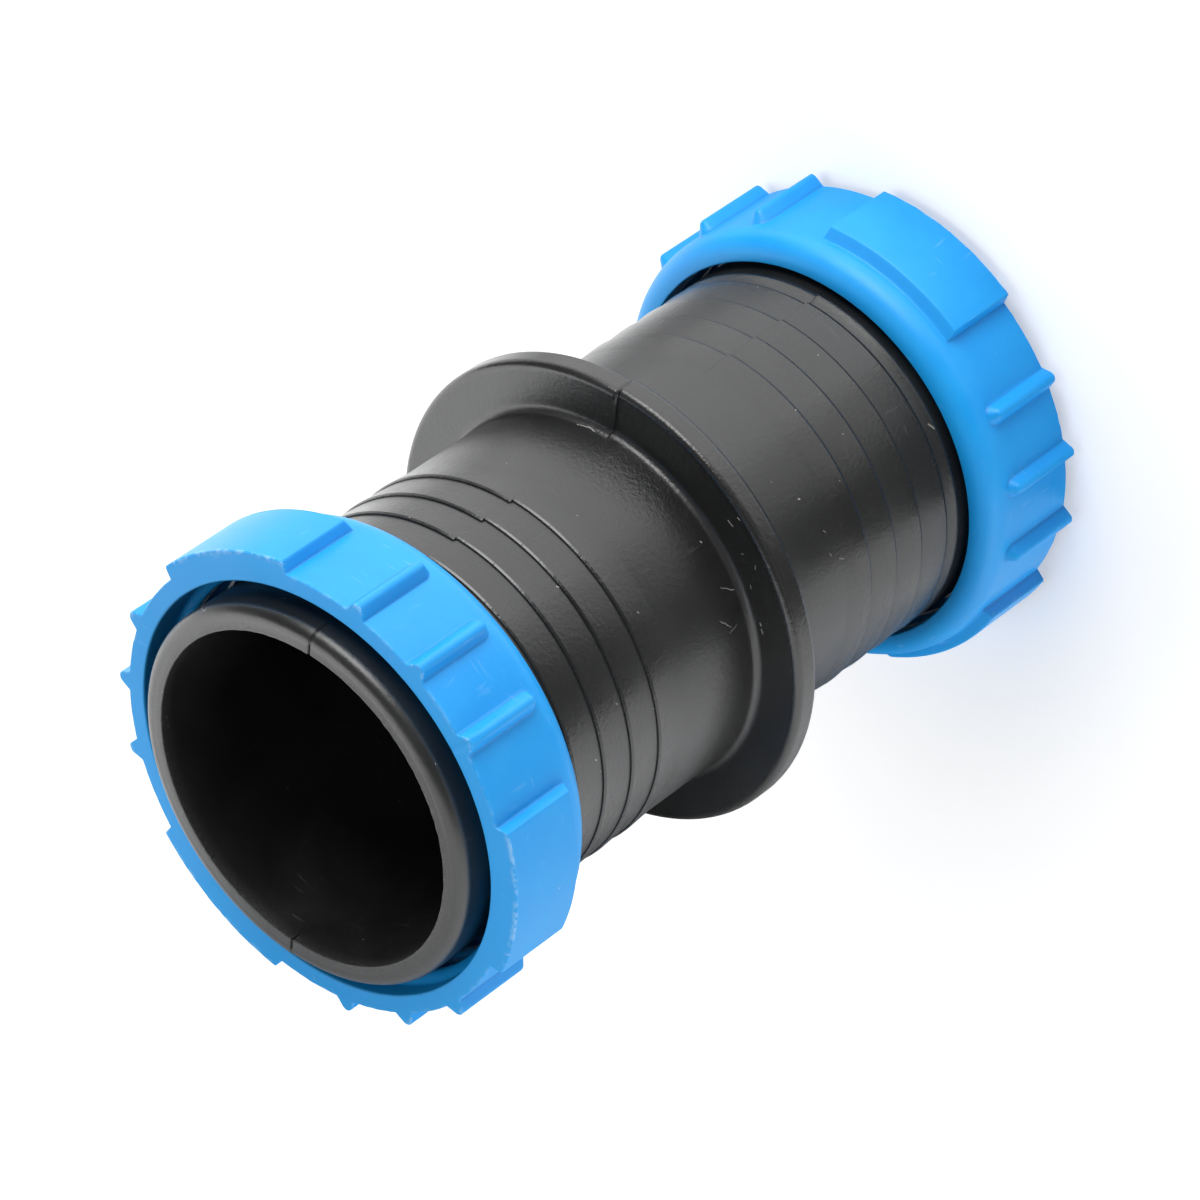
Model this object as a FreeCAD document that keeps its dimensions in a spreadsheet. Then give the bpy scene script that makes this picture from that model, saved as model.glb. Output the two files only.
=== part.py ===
import FreeCAD, Part
import math
import os
import Sketcher

# Straight coupling for two lengths of thin-walled hose or drip tape, lengths in mm.
# A moulded tube with a stop flange half way along carries a ringed spigot on each side.
# The tape is pushed over a spigot, and the grip nut that rides on the spigot is screwed
# back over it: the coarse thread inside the nut bites the tape against the rings.
#
# The coupling is drawn about the middle of its flange, with its axis on Z, and is then
# stood on its far mouth, so that Z = 0 is the plane of that mouth. The nut is drawn with
# its front face, the one turned to the mouth, on Z = 0 and its back towards +Z.
#
# Large round edges are drawn as equal bevels whose corners lie on the arc. The thread
# in the nut is left as a plain bore at the radius of its crests.

SIZES = {
    # tube and spigots
    "boreRadius": 22.0,        # clear way through the tube
    "tubeWall": 3.0,           # wall under a ring crest
    "spigotLength": 54.7,      # middle of the flange to a mouth
    "mouthRounding": 1.6,      # outer edge of a mouth
    "mouthBand": 19.87,        # plain stretch at a mouth, from its steep side
    # saw-tooth rings: the steep side faces the flange
    "ringStep": 0.3,           # height of the steep side
    "ringPitch": 4.95,         # one steep side to the next
    "ringRamp": 2.3,           # run of the slope behind the steep side
    "ringCount": 3,            # rings on each spigot, besides the plain stretch
    # stop flange
    "flangeHeight": 6.2,       # rim above the ring crests
    "flangeThickness": 3.6,
    "flangeRim": 0.9,          # bevel on the rim's edges
    "flangeRoot": 2.5,         # fillet between flange and tube
    # the two halves of the mould do not quite meet
    "mouldShift": 0.5,         # step along the axis between the halves
    "notchWidth": 0.5,         # witness of the parting line on a mouth
    "notchDepth": 0.4,
    # grip nut, sized outwards from the spigot that it rides on
    "nutClearance": 0.95,      # ring crest to the nut's bore
    "flareDepth": 1.15,        # how much the bore opens towards the front face
    "flareLength": 1.5,
    "nutWall": 2.4,            # wide end of the bore to the plain outside
    "nutLength": 15.2,
    "backLand": 0.5,           # flat back face, inside the rounded shoulder
    # grips on the nut: three broad pads, and three ribs between each two pads
    "gripHeight": 1.6,         # top of pads and ribs above the plain outside
    "gripGroups": 3,
    "padWidth": 41.0,          # degrees round the nut, at the foot
    "padLength": 11.5,         # front face to the foot of the sloping back
    "padSlope": 1.0,           # how far that back leans over the height
    "padEdge": 0.5,            # bevel on a pad's upper edges
    "ribSpacing": 19.0,        # degrees from rib to rib
    "ribLength": 12.0,
    "ribTip": 0.75,            # radius of the rounded crest
    "ribFlank": 32.0,          # degrees that a rib's side leans
    "ribsInGroup": 3,
    "ribNose": 1.4,            # radius of the rounded back end
    "sink": 0.4,               # how deep a raised form is let into what carries it
    # where the nuts sit, as found: each close to its own mouth
    "nearSetback": 2.9,        # near mouth to the front of its nut
    "farSetback": 1.05,        # far mouth to the front of its nut
    "nearTurn": 32.45,         # degrees from the parting line to a pad's middle
    "farTurn": -13.65,
}

doc = FreeCAD.newDocument("coupling")
sheet = doc.addObject("Spreadsheet::Sheet", "sizes")
for row, (word, value) in enumerate(SIZES.items(), start=1):
    sheet.set("A%d" % row, word)
    sheet.set("B%d" % row, str(value))
    sheet.setAlias("B%d" % row, word)
doc.recompute()

# Radii and stations that follow from the sizes, written with the sheet's own names.
CREST = "(sizes.boreRadius + sizes.tubeWall)"
LAND = "(%s - sizes.ringStep)" % CREST
RIM = "(%s + sizes.flangeHeight)" % CREST
BAND = "(sizes.spigotLength - sizes.mouthBand)"
NUT_BORE = "(%s + sizes.nutClearance)" % CREST
FLARE = "(%s + sizes.flareDepth)" % NUT_BORE
PLAIN = "(%s + sizes.nutWall)" % FLARE
GRIP = "(%s + sizes.gripHeight)" % PLAIN
SHOULDER = "(%s - %s - sizes.backLand)" % (PLAIN, NUT_BORE)
HALF_SHIFT = "(sizes.mouldShift / 2)"

# Points closer than this, in mm or radians, count as being in one place.
CLOSE = 0.01


def number(expression):
    """Value of an expression on the sheet's names."""
    value = sheet.evalExpression(expression.replace("sizes.", ""))
    return float(getattr(value, "Value", value))


def origin_part(body, role):
    return [f for f in body.Origin.OriginFeatures if f.Role == role][0]


def new_sketch(body, name, plane):
    sketch = body.newObject("Sketcher::SketchObject", name)
    sketch.AttachmentSupport = (origin_part(body, plane), "")
    sketch.MapMode = "FlatFace"
    return sketch


def hold(sketch, kind, geometry, point, expression, name):
    """Dimension one end of an edge from the sketch's origin."""
    value = number(expression)
    if expression == "0":
        axis = -2 if kind == "DistanceX" else -1
        sketch.addConstraint(Sketcher.Constraint("PointOnObject", geometry, point, axis))
        return
    index = sketch.addConstraint(
        Sketcher.Constraint(kind, -1, 1, geometry, point, value))
    sketch.renameConstraint(index, name)
    sketch.setExpression("Constraints." + name, expression)


def outline(body, name, plane, corners, arcs=None):
    """Closed outline through the corners, each dimensioned from the origin.

    arcs maps the number of an edge to (radius, side): side +1 bends the edge to the
    left of its run, -1 to the right.
    """
    arcs = arcs or {}
    sketch = new_sketch(body, name, plane)
    points = [FreeCAD.Vector(number(x), number(y), 0) for x, y in corners]
    count = len(points)
    ends = []
    for i in range(count):
        a = points[i]
        b = points[(i + 1) % count]
        if i not in arcs:
            edge = sketch.addGeometry(Part.LineSegment(a, b))
            ends.append((edge, 1, 2))
            continue
        radius = number(arcs[i][0])
        side = arcs[i][1]
        chord = b - a
        across = FreeCAD.Vector(-chord.y, chord.x, 0).normalize()
        rise = math.sqrt(max(radius ** 2 - (chord.Length / 2) ** 2, 0.0))
        centre = (a + b) * 0.5 - across * (side * rise)
        start = math.atan2(a.y - centre.y, a.x - centre.x)
        stop = math.atan2(b.y - centre.y, b.x - centre.x)
        circle = Part.Circle(centre, FreeCAD.Vector(0, 0, 1), radius)
        if side > 0:
            edge = sketch.addGeometry(Part.ArcOfCircle(circle, stop, start))
            ends.append((edge, 2, 1))
        else:
            edge = sketch.addGeometry(Part.ArcOfCircle(circle, start, stop))
            ends.append((edge, 1, 2))
    for i in range(count):
        edge, first, last = ends[i]
        after, after_first, after_last = ends[(i + 1) % count]
        sketch.addConstraint(
            Sketcher.Constraint("Coincident", edge, last, after, after_first))
    for i in range(count):
        edge, first, last = ends[i]
        hold(sketch, "DistanceX", edge, first, corners[i][0], "x%d" % i)
        hold(sketch, "DistanceY", edge, first, corners[i][1], "y%d" % i)
        if i in arcs:
            index = sketch.addConstraint(
                Sketcher.Constraint("Radius", edge, number(arcs[i][0])))
            sketch.renameConstraint(index, "radius%d" % i)
            sketch.setExpression("Constraints.radius%d" % i, arcs[i][0])
    return sketch


def quarter(x, y, radius, start, stop, bevels=2):
    """Corners of a quarter round about (x, y), from one angle in degrees to another."""
    corners = []
    for i in range(bevels + 1):
        turn = start + (stop - start) * i / bevels
        corners.append(("%s + %s * cos(%g)" % (x, radius, turn),
                        "%s + %s * sin(%g)" % (y, radius, turn)))
    return corners


def turned(body, name, sketch, angle, reverse=False, midplane=False):
    """Profile turned about the axis of its body."""
    feature = body.newObject("PartDesign::Revolution", name)
    feature.Profile = sketch
    feature.ReferenceAxis = (sketch, ["V_Axis"])
    feature.setExpression("Angle", angle)
    feature.Reversed = reverse
    feature.Midplane = midplane
    return feature


def polar(body, name, axis, angle, copies):
    pattern = body.newObject("PartDesign::PolarPattern", name)
    pattern.Axis = (origin_part(body, axis), [""])
    pattern.setExpression("Angle", angle)
    pattern.setExpression("Occurrences", copies)
    return pattern


# The coupling itself.

coupling = doc.addObject("PartDesign::Body", "CouplingBody")
coupling.Label = "coupling_body"

# Half the tube, from the middle of the flange to a mouth. The plain stretch at the mouth
# is as high as the ring crests and starts with a step like theirs.
tube_outline = outline(coupling, "TubeOutline", "XZ_Plane", [
    ("sizes.boreRadius", "0"),
    (LAND, "0"),
    (LAND, BAND),
    (CREST, BAND),
    *quarter(CREST + " - sizes.mouthRounding",
             "sizes.spigotLength - sizes.mouthRounding", "sizes.mouthRounding", 0, 90),
    ("sizes.boreRadius", "sizes.spigotLength"),
])
tube = turned(coupling, "Tube", tube_outline, "360")

# The flange as one half of the mould makes it, half a shift above the middle.
UPPER = "(%s + sizes.flangeThickness / 2)" % HALF_SHIFT
LOWER = "(%s - sizes.flangeThickness / 2)" % HALF_SHIFT
ROOT_X = LAND + " + sizes.flangeRoot"
RIM_X = RIM + " - sizes.flangeRim"
flange_outline = outline(coupling, "FlangeOutline", "XZ_Plane", [
    (LAND + " - sizes.sink", LOWER + " - sizes.flangeRoot"),
    *quarter(ROOT_X, LOWER + " - sizes.flangeRoot", "sizes.flangeRoot", 180, 90),
    *quarter(RIM_X, LOWER + " + sizes.flangeRim", "sizes.flangeRim", -90, 0, 1),
    *quarter(RIM_X, UPPER + " - sizes.flangeRim", "sizes.flangeRim", 0, 90, 1),
    *quarter(ROOT_X, UPPER + " + sizes.flangeRoot", "sizes.flangeRoot", 270, 180),
    (LAND + " - sizes.sink", UPPER + " + sizes.flangeRoot"),
])
flange = turned(coupling, "Flange", flange_outline, "180")

# Half a turn about X carries the near half of the tube to the far mouth, and the flange
# to the other half of the mould, where it lies half a shift below the middle.
both_ends = polar(coupling, "BothEnds", "X_Axis", "360", "2")
both_ends.Originals = [tube, flange]
coupling.Tip = both_ends
doc.recompute()


def ring(name, shift, reverse):
    """Ring nearest the flange on the near spigot, on one half of the mould."""
    step = "(%s - sizes.ringCount * sizes.ringPitch %s %s)" % (BAND, shift, HALF_SHIFT)
    sketch = outline(coupling, name + "Outline", "XZ_Plane", [
        (LAND + " - sizes.sink", step),
        (CREST, step),
        (LAND, step + " + sizes.ringRamp"),
        (LAND + " - sizes.sink", step + " + sizes.ringRamp"),
    ])
    return turned(coupling, name, sketch, "180", reverse)


ring_up = ring("RingUp", "+", False)
ring_down = ring("RingDown", "-", True)
doc.recompute()
rings = coupling.newObject("PartDesign::MultiTransform", "Rings")
rings.Originals = [ring_up, ring_down]
along = coupling.newObject("PartDesign::LinearPattern", "RingsAlong")
along.Direction = (origin_part(coupling, "Z_Axis"), [""])
along.setExpression("Length", "(sizes.ringCount - 1) * sizes.ringPitch")
along.setExpression("Occurrences", "sizes.ringCount")
ends = polar(coupling, "RingsBothEnds", "X_Axis", "360", "2")
rings.Transformations = [along, ends]
coupling.Tip = rings
doc.recompute()

# Witness of the parting line, cut right across a mouth on both sides and at both ends.
notch_outline = outline(coupling, "NotchOutline", "YZ_Plane", [
    ("0", "sizes.spigotLength - sizes.notchDepth"),
    ("sizes.notchWidth / 2", "sizes.spigotLength"),
    ("sizes.notchWidth / 2", "sizes.spigotLength + sizes.sink"),
    ("-sizes.notchWidth / 2", "sizes.spigotLength + sizes.sink"),
    ("-sizes.notchWidth / 2", "sizes.spigotLength"),
])
whole = coupling.Shape.Volume
notch = coupling.newObject("PartDesign::Pocket", "Notch")
notch.Profile = notch_outline
notch.Type = "ThroughAll"
notch.Midplane = True
doc.recompute()
notch_far = polar(coupling, "NotchBothEnds", "X_Axis", "360", "2")
notch_far.Originals = [notch]
coupling.Tip = notch_far
coupling.setExpression("Placement.Base.z", "sizes.spigotLength")
doc.recompute()
if coupling.Shape.Volume >= whole:
    raise RuntimeError("the notches cut nothing")


# The grip nut, made twice from the same sizes.

def grip_nut(name, label):
    nut = doc.addObject("PartDesign::Body", name)
    nut.Label = label

    # Plain ring: a bore that flares towards the front face, and a rounded shoulder at the
    # back.
    ring_outline = outline(nut, name + "RingOutline", "XZ_Plane", [
        (FLARE, "0"),
        (PLAIN, "0"),
        *quarter(PLAIN + " - " + SHOULDER, "sizes.nutLength - " + SHOULDER, SHOULDER,
                 0, 90, 3),
        (NUT_BORE, "sizes.nutLength"),
        (NUT_BORE, "sizes.flareLength"),
    ])
    plain = turned(nut, name + "Ring", ring_outline, "360")

    # One rib, across from the first pad: leaning sides and a rounded crest, run back
    # from the front face.
    tangent_x = "(%s - sizes.ribTip + sizes.ribTip * sin(sizes.ribFlank))" % GRIP
    tangent_y = "(sizes.ribTip * cos(sizes.ribFlank))"
    foot_x = "(%s - sizes.sink)" % PLAIN
    foot_y = "(%s + (%s - %s) * tan(sizes.ribFlank))" % (tangent_y, tangent_x, foot_x)
    rib_outline = outline(nut, name + "RibOutline", "XY_Plane", [
        (foot_x, "-" + foot_y),
        (tangent_x, "-" + tangent_y),
        (tangent_x, tangent_y),
        (foot_x, foot_y),
    ], {1: ("sizes.ribTip", -1)})
    rib_outline.setExpression("AttachmentOffset.Rotation.Angle",
                              "180 / sizes.gripGroups - sizes.ribSpacing"
                              " * (sizes.ribsInGroup - 1) / 2")
    rib = nut.newObject("PartDesign::Pad", name + "Rib")
    rib.Profile = rib_outline
    rib.setExpression("Length", "sizes.ribLength")
    doc.recompute()
    ribs = nut.newObject("PartDesign::MultiTransform", name + "Ribs")
    ribs.Originals = [rib]
    group = polar(nut, name + "RibGroup", "Z_Axis",
                  "sizes.ribSpacing * (sizes.ribsInGroup - 1)", "sizes.ribsInGroup")
    groups = polar(nut, name + "RibGroups", "Z_Axis", "360", "sizes.gripGroups")
    ribs.Transformations = [group, groups]
    nut.Tip = ribs
    doc.recompute()

    # All ribs end in a nose, turned to one radius in a single cut.
    before = nut.Shape.Volume
    nose_outline = outline(nut, name + "NoseOutline", "XZ_Plane", [
        (GRIP + " - sizes.ribNose", "sizes.ribLength + sizes.sink"),
        (GRIP + " + sizes.sink", "sizes.ribLength + sizes.sink"),
        (GRIP + " + sizes.sink", "sizes.ribLength - sizes.ribNose"),
        *quarter(GRIP + " - sizes.ribNose", "sizes.ribLength - sizes.ribNose",
                 "sizes.ribNose", 0, 90),
    ])
    nose = nut.newObject("PartDesign::Groove", name + "Nose")
    nose.Profile = nose_outline
    nose.ReferenceAxis = (nose_outline, ["V_Axis"])
    nose.Angle = 360
    doc.recompute()
    if nut.Shape.Volume >= before:
        raise RuntimeError("the noses cut nothing")

    # One pad, its middle on X, with a sloping back; then round the nut.
    pad_outline = outline(nut, name + "PadOutline", "XZ_Plane", [
        (foot_x, "0"),
        (GRIP, "0"),
        (GRIP, "sizes.padLength - sizes.padSlope"),
        (foot_x, "sizes.padLength + sizes.sink * sizes.padSlope / sizes.gripHeight"),
    ])
    pad = turned(nut, name + "Pad", pad_outline, "sizes.padWidth", midplane=True)
    doc.recompute()
    pads = polar(nut, name + "Pads", "Z_Axis", "360", "sizes.gripGroups")
    pads.Originals = [pad]
    nut.Tip = pads
    doc.recompute()

    # The pads' upper edges, apart from those in the front face, are eased.
    top = number(GRIP)
    half = math.radians(number("sizes.padWidth / 2"))
    step = 2 * math.pi / number("sizes.gripGroups")
    edges = []
    for index, edge in enumerate(pads.Shape.Edges, start=1):
        where = [v.Point for v in edge.Vertexes]
        if any(abs(math.hypot(p.x, p.y) - top) > CLOSE for p in where):
            continue
        if all(p.z < CLOSE for p in where):
            continue
        middle = edge.valueAt((edge.FirstParameter + edge.LastParameter) / 2)
        turn = math.atan2(middle.y, middle.x) % step
        if min(turn, step - turn) < half + CLOSE:
            edges.append("Edge%d" % index)
    eased = nut.newObject("PartDesign::Chamfer", name + "PadEdges")
    eased.Base = (pads, edges)
    eased.setExpression("Size", "sizes.padEdge")
    nut.Tip = eased
    doc.recompute()
    return nut


near_nut = grip_nut("NearNut", "near_nut")
near_nut.setExpression(
    "Placement",
    "placement(vector(0; 0; 2 * sizes.spigotLength - sizes.nearSetback);"
    " rotation(sizes.nearTurn; 0; 180))")
far_nut = grip_nut("FarNut", "far_nut")
far_nut.setExpression(
    "Placement",
    "placement(vector(0; 0; sizes.farSetback); rotation(sizes.farTurn; 0; 0))")
doc.recompute()

# Nothing is written unless every object came out sound.
for thing in doc.Objects:
    if "Invalid" in thing.State or "Error" in thing.State:
        raise RuntimeError("%s failed: %s" % (thing.Name, thing.State))
    if thing.TypeId == "Sketcher::SketchObject" and not thing.FullyConstrained:
        raise RuntimeError("%s is not fully dimensioned" % thing.Name)

os.makedirs("parts", exist_ok=True)
for body in (coupling, near_nut, far_nut):
    shape = body.Shape
    if shape.isNull() or not shape.isValid() or len(shape.Solids) != 1:
        raise RuntimeError("%s is not one sound solid" % body.Label)
    shape.exportStep("parts/%s.step" % body.Label)
    box = shape.BoundBox
    print("%s: %.1f x %.1f x %.1f mm, %.0f mm3" % (
        body.Label, box.XLength, box.YLength, box.ZLength, shape.Volume))
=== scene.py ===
import math

import bpy
import numpy as np
from bpy.props import (
    FloatProperty, FloatVectorProperty, IntProperty, PointerProperty)
from bpy.types import Operator, Panel, PropertyGroup
from mathutils import Matrix, Vector


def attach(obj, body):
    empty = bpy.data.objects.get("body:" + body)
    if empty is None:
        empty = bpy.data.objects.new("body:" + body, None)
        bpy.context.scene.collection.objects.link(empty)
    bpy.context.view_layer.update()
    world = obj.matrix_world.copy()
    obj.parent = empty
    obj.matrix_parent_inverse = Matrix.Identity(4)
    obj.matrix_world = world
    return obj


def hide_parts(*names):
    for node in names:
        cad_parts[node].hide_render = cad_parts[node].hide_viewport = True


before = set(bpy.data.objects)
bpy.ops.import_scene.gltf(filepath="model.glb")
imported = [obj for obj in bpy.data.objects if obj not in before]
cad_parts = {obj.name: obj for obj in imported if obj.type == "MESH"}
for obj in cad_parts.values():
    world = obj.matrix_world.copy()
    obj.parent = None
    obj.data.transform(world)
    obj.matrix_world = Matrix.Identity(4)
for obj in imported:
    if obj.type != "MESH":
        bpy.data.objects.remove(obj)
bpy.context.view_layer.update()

bl_info = {
    "name": "Drip Tape Coupling",
    "version": (1, 0, 0),
    "blender": (4, 5, 0),
    "location": "View3D > Sidebar > Coupling",
    "description": "Black ringed coupling with two blue grip nuts, on a plain stage",
    "category": "Object",
}

MM = 0.001


# sizes and colours

def length_property(name, description, size, lowest=1.0):
    """Length that a user may change, with its default and lowest value in mm."""
    return FloatProperty(
        name=name, description=description, default=size * MM, min=lowest * MM,
        subtype="DISTANCE", unit="LENGTH", precision=5)


def angle_property(name, description, size, lowest=-180.0):
    """Angle that a user may change, with its default and lowest value in degrees."""
    return FloatProperty(
        name=name, description=description, default=math.radians(size),
        min=math.radians(lowest), subtype="ANGLE", unit="ROTATION")


def colour_property(name, description, colour):
    """Colour that a user may change."""
    return FloatVectorProperty(
        name=name, description=description, default=colour, size=3, min=0.0, max=1.0,
        subtype="COLOR")


class CouplingSizes(PropertyGroup):
    """Sizes of the moulded tube with its rings and flange."""
    bore: length_property("Bore", "Radius of the clear way through the tube", 22.0)
    crest: length_property("Crest", "Radius over the ring crests and the plain mouth", 25.0)
    land: length_property("Land", "Radius of the tube between the rings and the flange", 24.7)
    reach: length_property("Reach", "Middle of the flange to a mouth", 54.7)
    mouth_round: length_property("Mouth rounding", "Radius of a mouth's outer edge", 1.5, 0.1)
    first_ring: length_property("First ring", "Middle of the flange to the first steep side", 19.98)
    ring_pitch: length_property("Ring pitch", "One steep side to the next", 4.95)
    ring_count: IntProperty(
        name="Rings", description="Steep sides on each spigot, with the mouth band's",
        default=4, min=1, max=6)
    crest_wear: length_property("Crest wear", "Width of a ring's worn edge", 0.30, 0.1)
    rim: length_property("Flange rim", "Radius of the stop flange", 31.18)
    flange: length_property("Flange thickness", "Thickness of the stop flange", 3.6)
    rim_round: length_property("Rim rounding", "Radius of the rim's edges", 0.9, 0.1)
    root: length_property("Flange root", "Fillet between the flange and the tube", 1.0, 0.1)
    mould_shift: length_property(
        "Mould shift", "Step along the axis between the mould halves", 0.5, 0.0)
    parting_gap: length_property("Parting gap", "Depth of the parting line in a mouth", 0.4, 0.0)


class NutSizes(PropertyGroup):
    """Sizes of the grip nut, which is made twice."""
    bore: length_property("Bore", "Radius over the thread's crests", 25.95)
    thread_root: length_property("Thread root", "Radius of the thread's root and the front bore", 27.1)
    thread_pitch: length_property("Thread pitch", "Advance of the coarse thread in one turn", 5.0)
    plain: length_property("Plain outside", "Radius between the grips", 29.5)
    grip: length_property("Grip height", "Height of the pads and ribs", 1.6, 0.1)
    length: length_property("Length", "Front face to back face", 15.2)
    shoulder: length_property("Shoulder", "Radius of the rounded back", 3.05, 0.1)
    pad_turn: angle_property("Pad width", "Width of a pad round the nut, at its foot", 41.0, 1.0)
    pad_length: length_property("Pad length", "Front face to the foot of a pad's sloping back", 11.5)
    rib_turn: angle_property("Rib spacing", "Angle from one rib to the next in a group", 19.0, 1.0)
    rib_length: length_property("Rib length", "Front face to the end of a rib's nose", 12.0)
    near_front: length_property("Near nut", "Height of the near nut's front face", 107.0, 0.0)
    near_turn: angle_property("Near nut's turn", "Parting line to a pad's middle", 32.45)
    far_front: length_property("Far nut", "Height of the far nut's front face", 1.6, 0.0)
    far_turn: angle_property("Far nut's turn", "Parting line to a pad's middle", -13.65)


class FinishColours(PropertyGroup):
    """Colours of the two plastics, of what lies on them and of the floor."""
    black: colour_property("Black plastic", "Body of the coupling", (0.0075, 0.0078, 0.0075))
    sawn: colour_property("Cut face", "Gritty end face of a mouth", (0.036, 0.037, 0.036))
    blue: colour_property("Blue plastic", "Grip nuts", (0.006, 0.345, 0.830))
    chalky: colour_property(
        "Chalky blue", "Rubbed faces and stretched edges of the nuts", (0.030, 0.320, 0.720))
    lint: colour_property("Lint and dust", "Specks and fibres on the plastic", (0.42, 0.41, 0.38))
    floor: colour_property("Floor", "Floor under the part", (0.93, 0.93, 0.93))


# skins

def eased(corners, grain=1.9):
    """Run of points through corners, each rounded to its own radius.

    A corner is (radius from the axis, height, rounding, *marks). The marks ride along
    to every point that the corner makes. Straight stretches are divided to the grain.
    """
    count = len(corners)
    places = np.array([c[:2] for c in corners], float)
    marks = np.array([c[3:] for c in corners], float)
    # Two rounded neighbours share the stretch between them, a sharp one leaves all of it.
    share = [0.48 if c[2] > 0 else 0.97 for c in corners]
    runs = []
    for i in range(count):
        here = places[i]
        back = places[i - 1] - here
        on = places[(i + 1) % count] - here
        back_length = np.linalg.norm(back)
        on_length = np.linalg.norm(on)
        back = back / back_length
        on = on / on_length
        turn = math.pi - math.acos(np.clip(back @ on, -1, 1))
        rounding = corners[i][2]
        cut = rounding * math.tan(turn / 2)
        room = min(share[i - 1] * back_length, share[(i + 1) % count] * on_length)
        if cut > room:
            rounding *= room / cut
            cut = room
        if cut < 1e-9:
            runs.append([(here, marks[i])])
            continue
        start = here + back * cut
        stop = here + on * cut
        middle = back + on
        middle /= np.linalg.norm(middle)
        centre = here + middle * (rounding / math.cos(turn / 2))
        facet = 13.0 if rounding > 0.2 else 30.0
        steps = max(2, int(math.ceil(math.degrees(turn) / facet)))
        a = start - centre
        b = stop - centre
        run = []
        for k in range(steps + 1):
            t = k / steps
            p = (math.sin((1 - t) * turn) * a + math.sin(t * turn) * b) / math.sin(turn)
            run.append((centre + p, marks[i]))
        side = min(0.35 * rounding, 0.3 * (min(back_length, on_length) - cut))
        run.insert(0, (start + back * side, marks[i]))
        run.append((stop + on * side, marks[i]))
        runs.append(run)
    points = []
    for i in range(count):
        points.extend(runs[i])
        a, mark_a = runs[i][-1]
        b, mark_b = runs[(i + 1) % count][0]
        pieces = int(np.linalg.norm(b - a) / grain)
        for k in range(1, pieces + 1):
            t = k / (pieces + 1)
            points.append((a + (b - a) * t, mark_a + (mark_b - mark_a) * t))
    return np.array([p for p, m in points]), np.array([m for p, m in points])


def closed_skin(name, grid, marks, material):
    """Mesh over a grid of points that closes on itself both ways."""
    rows, columns = grid.shape[:2]
    mesh = bpy.data.meshes.new(name)
    index = np.arange(rows * columns).reshape(rows, columns)
    on = np.roll(index, -1, 0)
    across = np.roll(index, -1, 1)
    corner = np.roll(on, -1, 1)
    faces = np.stack([index, on, corner, across], -1).reshape(-1, 4)
    mesh.vertices.add(rows * columns)
    mesh.vertices.foreach_set("co", (grid * MM).astype(np.float32).ravel())
    mesh.loops.add(faces.size)
    mesh.loops.foreach_set("vertex_index", faces.astype(np.int32).ravel())
    mesh.polygons.add(len(faces))
    mesh.polygons.foreach_set("loop_start", np.arange(0, faces.size, 4, dtype=np.int32))
    mesh.update(calc_edges=True)
    mesh.polygons.foreach_set("use_smooth", np.ones(len(faces), bool))
    for mark, values in marks.items():
        layer = mesh.attributes.new(mark, "FLOAT", "POINT")
        values = np.broadcast_to(values, (rows, columns))
        layer.data.foreach_set("value", values.astype(np.float32).ravel())
    if mesh.validate():
        raise RuntimeError(name + " has faulty faces")
    mesh.materials.append(material)
    piece = bpy.data.objects.new(name, mesh)
    bpy.context.scene.collection.objects.link(piece)
    return piece


def around(turn):
    """Angle in degrees, brought between -180 and 180."""
    return (turn + 180.0) % 360.0 - 180.0


def soft_step(x, low, high):
    """Smooth rise from 0 at low to 1 at high."""
    t = np.clip((x - low) / (high - low), 0, 1)
    return t * t * (3 - 2 * t)


def soft_low(a, b, k):
    """Lesser of two values, rounded off where they come closer than k."""
    h = np.clip(k - np.abs(a - b), 0, None) / k
    return np.minimum(a, b) - h * h * k * 0.25


def soft_high(a, b, k):
    """Greater of two values, rounded off in the same way."""
    return -soft_low(-a, -b, k)


def waver(turn, seed, waves, lowest=1):
    """Smooth random line round the axis, about -1 to 1, which closes on itself."""
    rng = np.random.default_rng(seed)
    line = np.zeros_like(turn)
    for k in range(lowest, lowest + waves):
        line += rng.normal() * np.sin(np.radians(turn) * k + rng.uniform(0, 2 * math.pi))
    return line / math.sqrt(waves)


# the coupling

# Marks that most corners carry: share of the mould shift, depth of the parting gap, cut
# face, painted shade at a ring's foot and worn edge.
PLAIN = (1, 0, 0, 0, 0)
FOOT_SHADE = (1, 0, 0, 1, 0)
WORN = (1, 0, 0, 0, 1)


def ringed_side(s, foot_shade_reach, leaning):
    """Corners of one spigot from the mouth's plain stretch to the last ring, in mm.

    The steep sides face the mouth, and painted shade lies at their feet out to that distance.
    A leaning side has the band beside its nut drawn in a little and that step deeper.
    """
    crest, land, worn = s.crest / MM, s.land / MM, s.crest_wear / MM
    plain_end, lean_end, deeper, fade = 4.0, 1.9, 0.20, 4.5
    steps = []
    for k in reversed(range(s.ring_count)):
        steps.append((s.first_ring + k * s.ring_pitch) / MM)
    side = [(crest, steps[0] + plain_end, 1.0, 0.6, 0, 0, 0, 0)]
    if leaning:
        side.append((crest - 0.03, steps[0] + lean_end, 0.8, 1, 0, 0, 0, 0.5))
    for step in steps:
        foot = land - deeper if leaning and step == steps[0] else land
        side += [
            (foot + 0.007, step + foot_shade_reach + 0.1, 0, *PLAIN),
            (foot, step + foot_shade_reach, 0, *PLAIN),
            # The foot corner carries the mark for the painted shade.
            (land - 0.04, step + 0.02, 0.03, *FOOT_SHADE),
            (crest - 0.45 * worn, step, 0.05, *WORN),
            (crest, step - worn, 0.08, *WORN),
        ]
    side.append((land, steps[-1] - fade, 1.0, *PLAIN))
    return side


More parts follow.
